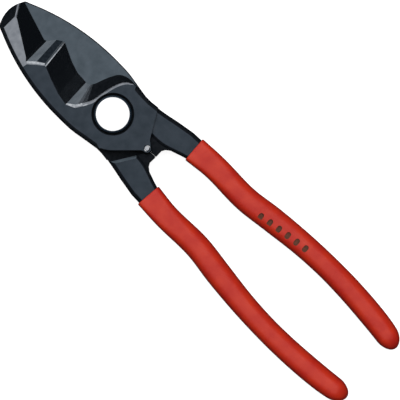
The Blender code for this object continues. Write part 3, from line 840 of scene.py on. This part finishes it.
def rounded_section(half_width, half_thickness, inner, outer, steps=6):
    """A rounded rectangle in the plane of X and Z."""
    points = []
    for quarter, (side, up) in enumerate(((1, 1), (-1, 1), (-1, -1), (1, -1))):
        corner = min(outer if side > 0 else inner, 0.9 * half_width, 0.9 * half_thickness)
        centre = (side * (half_width - corner), up * (half_thickness - corner))
        points += arc(centre, corner, 90 * quarter, 90 * quarter + 90, steps)
    return points


def tang():
    """The whole tang, burnished on its flat sides, with a fuller outer corner where it is bare."""
    bare = bare_stations()
    stations = bare + covered_stations()
    corners = [OUTER_CORNER] * (len(bare) + 1) + [TANG_CORNER] * (len(stations) - len(bare) - 1)
    stations = [(*station, corner) for station, corner in zip(stations, corners)]
    made = swept(stations, lambda w, t, outer: rounded_section(w, t, TANG_CORNER, outer))
    # the flat sides take the burnished black; the rounded edges keep the forged black, partly painted
    # shade
    for face in made.faces:
        if abs(face.normal.z) > TANG_LEVEL:
            face.material_index = BLACK
    return made


def lobe():
    """The web inside the heel, and its lobe that meets the other half's when the shears close."""
    bottom = LOBE_TOP - LOBE_DEPTH
    inner = LOBE_GAP / 2
    outline = [
        (inner, PIN_AT - 0.8),
        (inner, bottom + LOBE_CORNER),
        (inner + LOBE_CORNER, bottom),
        (3.2, bottom + 0.1),
        (4.6, bottom - 0.7),
        (5.9, bottom - 2.4),
        (8.0, bottom - 3.4),
        (8.0, PIN_AT + 2.7),
        (HEEL_START + 0.6, PIN_AT + 3.2),
        (HEEL_START - 1.8, PIN_AT + 1.7),
    ]
    made = prism(outline, -LOBE_HALF_THICKNESS, LOBE_HALF_THICKNESS)
    flat = [e for e in made.edges if abs(e.verts[0].co.z - e.verts[1].co.z) < 0.1]
    round_over(made, flat, LOBE_CORNER / 2, 3, FORGED_AND_SHADE)
    return made


def joint_clearance():
    """What is milled away under the shear plane so that the other half's boss and corner can turn."""
    heel_inner, heel_outer = heel_line(0.0)
    far = JAW_REACH
    radius = CORNER_RADIUS + SEAT
    slope = math.tan(HEEL_SLOPE)
    outline = [
        (far, heel_outer[1] + (far - heel_outer[0]) * slope),
        (far, far),
        (-far, far),
        (-far, PIN_AT - radius),
        *arc((0.0, PIN_AT), radius, 270, 340, 12),
        (radius * 1.05, heel_inner[1] - (heel_inner[0] - radius * 1.05) * slope),
        heel_outer,
    ]
    # its faces keep the forged black, so the milled floor in the gap beside the boss is painted shade
    return prism(outline, -HALF_THICKNESS - CUT_PAST, SHEAR_LEVEL)


def heel_chamfer():
    """Takes the sharp corner off the heel wall, where the tang starts."""
    inner, outer = (Vector((*point, -TANG_HALF_THICKNESS)) for point in heel_line(0.0))
    made = bmesh.new()
    bmesh.ops.create_cube(made, size=1.0)
    reach = (outer - inner).length + 2 * HEEL_CUTTER_PAST
    bmesh.ops.scale(made, verts=made.verts, vec=(reach, HEEL_CUTTER_WIDTH, HEEL_CUTTER_DEPTH))
    lowered = HEEL_CUTTER_DEPTH / 2 - HEEL_CHAMFER * math.sin(HEEL_CHAMFER_SLOPE)
    bmesh.ops.translate(made, verts=made.verts, vec=(0, 0, -lowered))
    tilt = Matrix.Rotation(HEEL_CHAMFER_SLOPE, 3, "X")
    turn = Matrix.Rotation(HEEL_SLOPE, 3, "Z")
    bmesh.ops.rotate(made, verts=made.verts, cent=(0, 0, 0), matrix=turn @ tilt)
    bmesh.ops.translate(made, verts=made.verts, vec=(inner + outer) / 2)
    return painted(made, MILLED)


def double_flat(radius, across, low, high):
    """A round bar with two flats, which lie along Y."""
    limit = math.degrees(math.acos(across / 2 / radius))
    outline = arc((0, 0), radius, limit, 180 - limit, 24)
    outline += arc((0, 0), radius, 180 + limit, 360 - limit, 24)
    return prism(outline, low, high)


def pin_seat():
    """The half-round seat that the pin closes against, and the pin's way out of it."""
    radius = PIN_RADIUS + SEAT
    inner = -PIN_AT - radius
    outer = -PIN_AT + CORNER_RADIUS + SEAT
    outline = arc((0, PIN_AT), radius, 90, -90, 16)
    outline += arc((0, 0), outer, -90, -90 - PIN_WAY_OUT, 8)
    outline += arc((0, 0), inner, -90 - PIN_WAY_OUT, -90 - 4, 8)
    return prism(outline, -CUT_PAST, HALF_THICKNESS + CUT_PAST)


def round_recess(radius, floor):
    """A flat-bottomed hole in the outer face, with its mouth chamfered."""
    top = HALF_THICKNESS + CUT_PAST
    mouth = HALF_THICKNESS - RECESS_CHAMFER
    wide = radius + RECESS_CHAMFER + CUT_PAST
    profile = [(0, floor), (radius, floor), (radius, mouth), (wide, top), (0, top)]
    return turned(profile)


def forging(holes):
    """One half as it comes from the forge and the mill, with its joint holes."""
    steps = [
        ("UNION", tang()),
        ("UNION", lobe()),
        ("DIFFERENCE", joint_clearance()),
        ("DIFFERENCE", heel_chamfer()),
    ]
    return worked(plate(), steps + [("DIFFERENCE", hole) for hole in holes], STEEL_FINISHES)


def bar(radius, low, high, at=(0, 0)):
    """A round bar that stands at a place."""
    made = turned([(0, low), (radius, low), (radius, high), (0, high)])
    bmesh.ops.translate(made, verts=made.verts, vec=(*at, 0))
    return made


ABOVE = HALF_THICKNESS + CUT_PAST
TURNED_OVER = Matrix.Rotation(math.pi, 4, "Y")
front_holes = [
    round_recess(RECESS_RADIUS, RECESS_FLOOR),
    double_flat(NECK_RADIUS + FIT, NECK_FLATS + 2 * FIT, -CUT_PAST, ABOVE),
    bar(PIN_RADIUS + FIT, -CUT_PAST, ABOVE, (0, PIN_AT)),
]
rear_holes = [
    round_recess(NUT_RECESS_RADIUS, NUT_RECESS_FLOOR),
    bar(JOURNAL_RADIUS + FIT, -CUT_PAST, ABOVE),
    pin_seat(),
]
piece("front_half_forged", forging(front_holes), "front_half", "front")
piece("rear_half_forged", forging(rear_holes), "rear_half", "rear", TURNED_OVER)


# The pivot bolt ---------------------------------------------------------------------------------
# A turned steel bolt with a wide flat head, polished bright inside its black rim. Two flats on its
# neck key it to the front half, a round journal carries the rear half, and a thread takes the nut.

HEAD_RADIUS = 7.3
HEAD_CHAMFER = 1.0
HEAD_PROUD = 0.6
POLISHED_RADIUS = 6.45
THREAD_RADIUS = 4.0
THREAD_END_CHAMFER = 0.5
BOLT_TOP = HALF_THICKNESS + HEAD_PROUD


def turned_finish(name, dark, light, rough, ring, depth):
    """Bright steel with the fine rings that a lathe leaves round the pivot's axis."""
    material = finish(name, dark, light, 2.0, rough, 0.4, 0.0003, metallic=1.0)
    tree = material.node_tree
    where = tree.nodes.new("ShaderNodeTexCoord")
    rings = tree.nodes.new("ShaderNodeTexWave")
    rings.wave_type = "RINGS"
    rings.rings_direction = "Z"
    rings.inputs["Scale"].default_value = 1 / (ring * MM) / 10
    rings.inputs["Distortion"].default_value = 0.3
    relief = tree.nodes.new("ShaderNodeBump")
    relief.inputs["Distance"].default_value = depth * MM
    tree.links.new(where.outputs["Object"], rings.inputs["Vector"])
    tree.links.new(rings.outputs["Fac"], relief.inputs["Height"])
    tree.links.new(relief.outputs["Normal"], tree.nodes["Bump"].inputs["Normal"])
    return material


BRIGHT_STEEL = turned_finish(
    "polished_steel", (0.95, 0.955, 0.955), (0.98, 0.98, 0.98), (0.22, 0.3), 0.35, 0.0006
)


def pivot_bolt():
    head_bottom = RECESS_FLOOR + SEAT
    thread_top = SEAT - NUT_RECESS_FLOOR
    end = -SHEAR_PLANE
    profile = [
        (0, end),
        (THREAD_RADIUS - THREAD_END_CHAMFER, end),
        (THREAD_RADIUS, end + THREAD_END_CHAMFER),
        (THREAD_RADIUS, thread_top),
        (JOURNAL_RADIUS, thread_top),
        (JOURNAL_RADIUS, SHEAR_LEVEL),
        (NECK_RADIUS, SHEAR_LEVEL),
        (NECK_RADIUS, head_bottom),
        (HEAD_RADIUS, head_bottom),
    ]
    corner = (HEAD_RADIUS - HEAD_CHAMFER, BOLT_TOP - HEAD_CHAMFER)
    profile += arc(corner, HEAD_CHAMFER, 0, 90, 8)
    profile.append((0, BOLT_TOP))
    flats = []
    for side in (-1, 1):
        reach = side * (NECK_RADIUS + CUT_PAST)
        flat = side * NECK_FLATS / 2
        beside = [
            (flat, -NECK_RADIUS),
            (reach, -NECK_RADIUS),
            (reach, NECK_RADIUS),
            (flat, NECK_RADIUS),
        ]
        flats.append(("DIFFERENCE", prism(beside, 0, head_bottom, 0)))
    made = turned(profile, 0)
    for face in made.faces:
        middle = face.calc_center_median()
        if middle.z > head_bottom and middle.xy.length > POLISHED_RADIUS:
            face.material_index = 1
    return worked(made, flats, [BRIGHT_STEEL, BLACK_FACE])


piece("pivot_bolt_bright", pivot_bolt(), "pivot_bolt", "front", crease=40.0)


# The nut and the disc spring --------------------------------------------------------------------
# A thin hexagon nut, bright and chamfered, draws the joint together over a shallow disc spring of
# blued spring steel. Both sit in the recess on the rear half and turn with the bolt.

NUT_ACROSS_FLATS = 13.0
NUT_HEIGHT = 3.1
NUT_CORNER_ROUND = 0.25
NUT_CHAMFER = 0.1
NUT_CHAMFER_SLOPE = math.radians(30.0)
NUT_MOUTH_CHAMFER = 0.4
BARREL_PAST_CORNERS = 0.1
BARREL_PAST_ENDS = 0.01
SPRING_RADIUS = 7.2
SPRING_THICKNESS = 0.6
SPRING_CONE = 0.25
SPRING_RIM_ROUND = 0.12
SPRING_TOP = -NUT_RECESS_FLOOR - SEAT
NUT_TOP = SPRING_TOP - SPRING_CONE - SPRING_THICKNESS - SEAT
NUT_BOTTOM = NUT_TOP - NUT_HEIGHT

SPRING_STEEL = turned_finish(
    "blued_spring_steel", (0.10, 0.10, 0.12), (0.22, 0.22, 0.25), (0.25, 0.4), 0.3, 0.001
)
NUT_STEEL = finish(
    "zinc_bright_steel",
    (0.62, 0.64, 0.66),
    (0.78, 0.79, 0.80),
    1.5,
    (0.28, 0.42),
    0.3,
    0.003,
    metallic=1.0,
)


def pivot_nut():
    """A hexagon inside a barrel with cone-shaped ends, which chamfers its corners."""
    corner = NUT_ACROSS_FLATS / 2 / math.cos(math.pi / 6)
    flat = NUT_ACROSS_FLATS / 2 - NUT_CHAMFER
    slope = (corner - flat) * math.tan(NUT_CHAMFER_SLOPE)
    outside = corner + BARREL_PAST_CORNERS
    barrel = [
        (0, NUT_BOTTOM - BARREL_PAST_ENDS),
        (flat, NUT_BOTTOM - BARREL_PAST_ENDS),
        (outside, NUT_BOTTOM + slope),
        (outside, NUT_TOP - slope),
        (flat, NUT_TOP + BARREL_PAST_ENDS),
        (0, NUT_TOP + BARREL_PAST_ENDS),
    ]
    hole = THREAD_RADIUS + FIT
    mouth = hole + NUT_MOUTH_CHAMFER
    bore = [
        (0, NUT_BOTTOM - CUT_PAST),
        (mouth + CUT_PAST, NUT_BOTTOM - CUT_PAST),
        (hole, NUT_BOTTOM + NUT_MOUTH_CHAMFER),
        (hole, NUT_TOP - NUT_MOUTH_CHAMFER),
        (mouth + CUT_PAST, NUT_TOP + CUT_PAST),
        (0, NUT_TOP + CUT_PAST),
    ]
    hexagon = prism(arc((0, 0), corner, 0, 300, 5), NUT_BOTTOM, NUT_TOP, 0)
    upright = [e for e in hexagon.edges if abs(e.verts[0].co.z - e.verts[1].co.z) > 1]
    round_over(hexagon, upright, NUT_CORNER_ROUND, 3, 0)
    steps = [("INTERSECT", turned(barrel, 0)), ("DIFFERENCE", turned(bore, 0))]
    return worked(hexagon, steps, [NUT_STEEL])


def disc_spring():
    bore = THREAD_RADIUS + 2 * FIT
    profile = [
        (bore, SPRING_TOP - SPRING_CONE),
        (SPRING_RADIUS, SPRING_TOP),
        (SPRING_RADIUS, SPRING_TOP - SPRING_THICKNESS),
        (bore, SPRING_TOP - SPRING_CONE - SPRING_THICKNESS),
    ]
    made = turned(profile, 0)
    rims = [e for e in made.edges if len(e.link_faces) == 2 and e.calc_face_angle() > 1.0]
    round_over(made, rims, SPRING_RIM_ROUND, 2, 0)
    mesh = mesh_of(made, "spring")
    mesh.materials.append(SPRING_STEEL)
    return mesh


piece("pivot_nut_bright", pivot_nut(), "pivot_nut", "front", crease=25.0)
piece("disc_spring_blued", disc_spring(), "disc_spring", "front")


# The stop pin -----------------------------------------------------------------------------------
# A short hardened dowel, ground bright, pressed through the corner of the front half. It meets its
# seat in the rear half when the shears are closed.

PIN_PROUD = 0.12
PIN_CHAMFER = 0.2
PIN_STEEL = finish(
    "ground_pin_steel",
    (0.36, 0.375, 0.4),
    (0.43, 0.445, 0.47),
    1.0,
    (0.22, 0.3),
    0.3,
    0.0005,
    metallic=1.0,
)


def stop_pin():
    low = SHEAR_LEVEL - HALF_THICKNESS
    top = HALF_THICKNESS + PIN_PROUD
    inner = PIN_RADIUS - PIN_CHAMFER
    profile = [(0, low), (inner, low), (PIN_RADIUS, low + PIN_CHAMFER)]
    profile += arc((inner, top - PIN_CHAMFER), PIN_CHAMFER, 0, 90, 4)
    profile.append((0, top))
    made = turned(profile, 0, 40)
    bmesh.ops.translate(made, verts=made.verts, vec=(0, PIN_AT, 0))
    mesh = mesh_of(made, "pin")
    mesh.materials.append(PIN_STEEL)
    return mesh


piece("stop_pin_ground", stop_pin(), "stop_pin", "front")


# The dipped grips -------------------------------------------------------------------------------
# Each tang is dipped hot in red plastisol, which cures to a soft, satin sleeve with a thin mouth
# and a thick rounded end. A row of plain oblong marks is pressed into one of them.

GRIP_FIT = 0.25
GRIP_END_ROUND = 6.0
GRIP_SIDES = 48
LIP_STEPS = 4
GRIP_STEPS = 72
GRIP_END_STEPS = 14
GRIP_END_POLE = 0.8  # steps left out at the very end, where the sections would shrink to a point
FLAT_SIDE_GROWTH = 0.6  # share of the growth in wall that the flat sides take
GRIP_FULLNESS = 2.7  # 2 is an ellipse, more is squarer
MOUTH_FULLNESS = 5.0
FULLNESS_RUN = 25.0
MOUTH_LIP = 0.4
CURE_SHRINKAGE = 0.015
MARKS = 6
MARK_LENGTH = 3.0
MARK_WIDTH = 2.0
MARK_DEPTH = 0.5
MARKS_FROM = 68.5
MARKS_TO = 89.5
FIRST_MARK_INWARD = 1.9
LAST_MARK_INWARD = 0.7

RED_GRIP = finish(
    "dipped_red_plastic",
    (0.29, 0.010, 0.005),
    (0.35, 0.019, 0.006),
    6.0,
    (0.34, 0.46),
    1.2,
    0.02,
    specular=0.36,
)
MARK_FILL = finish(
    "pressed_mark_dark",
    (0.045, 0.018, 0.010),
    (0.085, 0.026, 0.014),
    1.0,
    (0.5, 0.6),
    0.3,
    0.005,
    specular=0.2,
)


def oval_section(half_width, half_thickness, fullness):
    """A full, flattened oval in the plane of X and Z."""
    points = []
    for i in range(GRIP_SIDES):
        angle = 2 * math.pi * i / GRIP_SIDES
        c, s = math.cos(angle), math.sin(angle)
        x = math.copysign(abs(c) ** (2 / fullness), c) * half_width
        z = math.copysign(abs(s) ** (2 / fullness), s) * half_thickness
        points.append((x, z))
    return points


def grip_half_thickness(share):
    """Half the height of the sleeve, which swells a little past its mouth."""
    mouth = TANG_HALF_THICKNESS + MOUTH_WALL
    full = mouth + (GRIP_WALL - MOUTH_WALL) * FLAT_SIDE_GROWTH
    return mouth + (full - mouth) * ease(share * (HANDLE_REACH - GRIP_MOUTH) / MOUTH_RUN)


def grip_fullness(share):
    """How square the sleeve's section is: nearly so at the mouth, rounder farther on."""
    settled = ease(share * (HANDLE_REACH - GRIP_MOUTH) / FULLNESS_RUN)
    return MOUTH_FULLNESS + (GRIP_FULLNESS - MOUTH_FULLNESS) * settled


def grip_body():
    """The outside of a sleeve, from its rolled mouth to its rounded end."""
    length = HANDLE_REACH - GRIP_MOUTH
    round_start = 1 - GRIP_END_ROUND / length
    stations = []
    shares = []
    for i in range(LIP_STEPS):
        shares.append(MOUTH_LIP / length * (1 - math.cos(math.pi / 2 * i / LIP_STEPS)))
    lip = MOUTH_LIP / length
    shares += [lip + (round_start - lip) * i / GRIP_STEPS for i in range(GRIP_STEPS + 1)]
    for i in range(1, GRIP_END_STEPS + 1):
        turn = math.pi / 2 * i / (GRIP_END_STEPS + GRIP_END_POLE)
        shares.append(round_start + (1 - round_start) * math.sin(turn))
    for share in shares:
        (x, y), width, _wall = handle_at(share)
        past = max(0.0, (share - round_start) / (1 - round_start))
        shrink = math.sqrt(1 - past * past)
        short = max(0.0, 1 - share / lip)
        rolled = MOUTH_LIP * (1 - math.sqrt(1 - short * short))
        half_width = (width / 2 - CURE_SHRINKAGE) * shrink - rolled
        half_thickness = grip_half_thickness(share) * shrink - rolled
        stations.append((x, y, half_width, half_thickness, grip_fullness(share)))
    return swept(stations, oval_section, 0)


def grip_room():
    """The space for the tang inside the sleeve."""
    cavity = []
    for x, y, half_width, half_thickness in bare_stations()[-6:] + covered_stations():
        cavity.append((x, y, half_width + GRIP_FIT, half_thickness + GRIP_FIT))
    x, y, half_width, half_thickness = cavity[-1]
    along = Vector((x - cavity[-2][0], y - cavity[-2][1])).normalized() * GRIP_FIT
    cavity.append((x + along.x, y + along.y, half_width, half_thickness))
    corner = TANG_CORNER + GRIP_FIT
    return swept(cavity, lambda w, t: rounded_section(w, t, corner, corner), 0)


def pressed_marks():
    """Plain oblong bars that sink into the upper side of the front grip."""
    cuts = []
    length = HANDLE_REACH - GRIP_MOUTH
    for i in range(MARKS):
        y = MARKS_FROM + (MARKS_TO - MARKS_FROM) * i / (MARKS - 1)
        share = (y - GRIP_MOUTH) / length
        (x, _y), width, _wall = handle_at(share)
        inward = FIRST_MARK_INWARD + (LAST_MARK_INWARD - FIRST_MARK_INWARD) * i / (MARKS - 1)
        ahead = handle_at(share + 0.01)[0]
        slope = math.atan2(x - ahead[0], ahead[1] + y)
        reach = MARK_LENGTH / 2 - MARK_WIDTH / 2
        outline = arc((reach, 0), MARK_WIDTH / 2, -90, 90, 8)
        outline += arc((-reach, 0), MARK_WIDTH / 2, 90, 270, 8)
        thickness = grip_half_thickness(share)
        fullness = grip_fullness(share)
        beside = inward / (width / 2)
        level = (1 - beside**fullness) ** (1 / fullness)
        # each bar leans with the surface at its middle
        lean = math.atan((beside / level) ** (fullness - 1) * thickness / (width / 2))
        cut = prism(outline, -MARK_DEPTH, CUT_PAST, 1)
        turn = Matrix.Rotation(slope, 3, "Z") @ Matrix.Rotation(-lean, 3, "Y")
        bmesh.ops.rotate(cut, verts=cut.verts, cent=(0, 0, 0), matrix=turn)
        bmesh.ops.translate(cut, verts=cut.verts, vec=(x - inward, -y, thickness * level))
        cuts.append(("DIFFERENCE", cut))
    return cuts


def grip(marks):
    return worked(grip_body(), [("DIFFERENCE", grip_room()), *marks], [RED_GRIP, MARK_FILL])


piece("front_grip_dipped", grip(pressed_marks()), "front_grip", "front")
piece("rear_grip_dipped", grip([]), "rear_grip", "rear", TURNED_OVER)
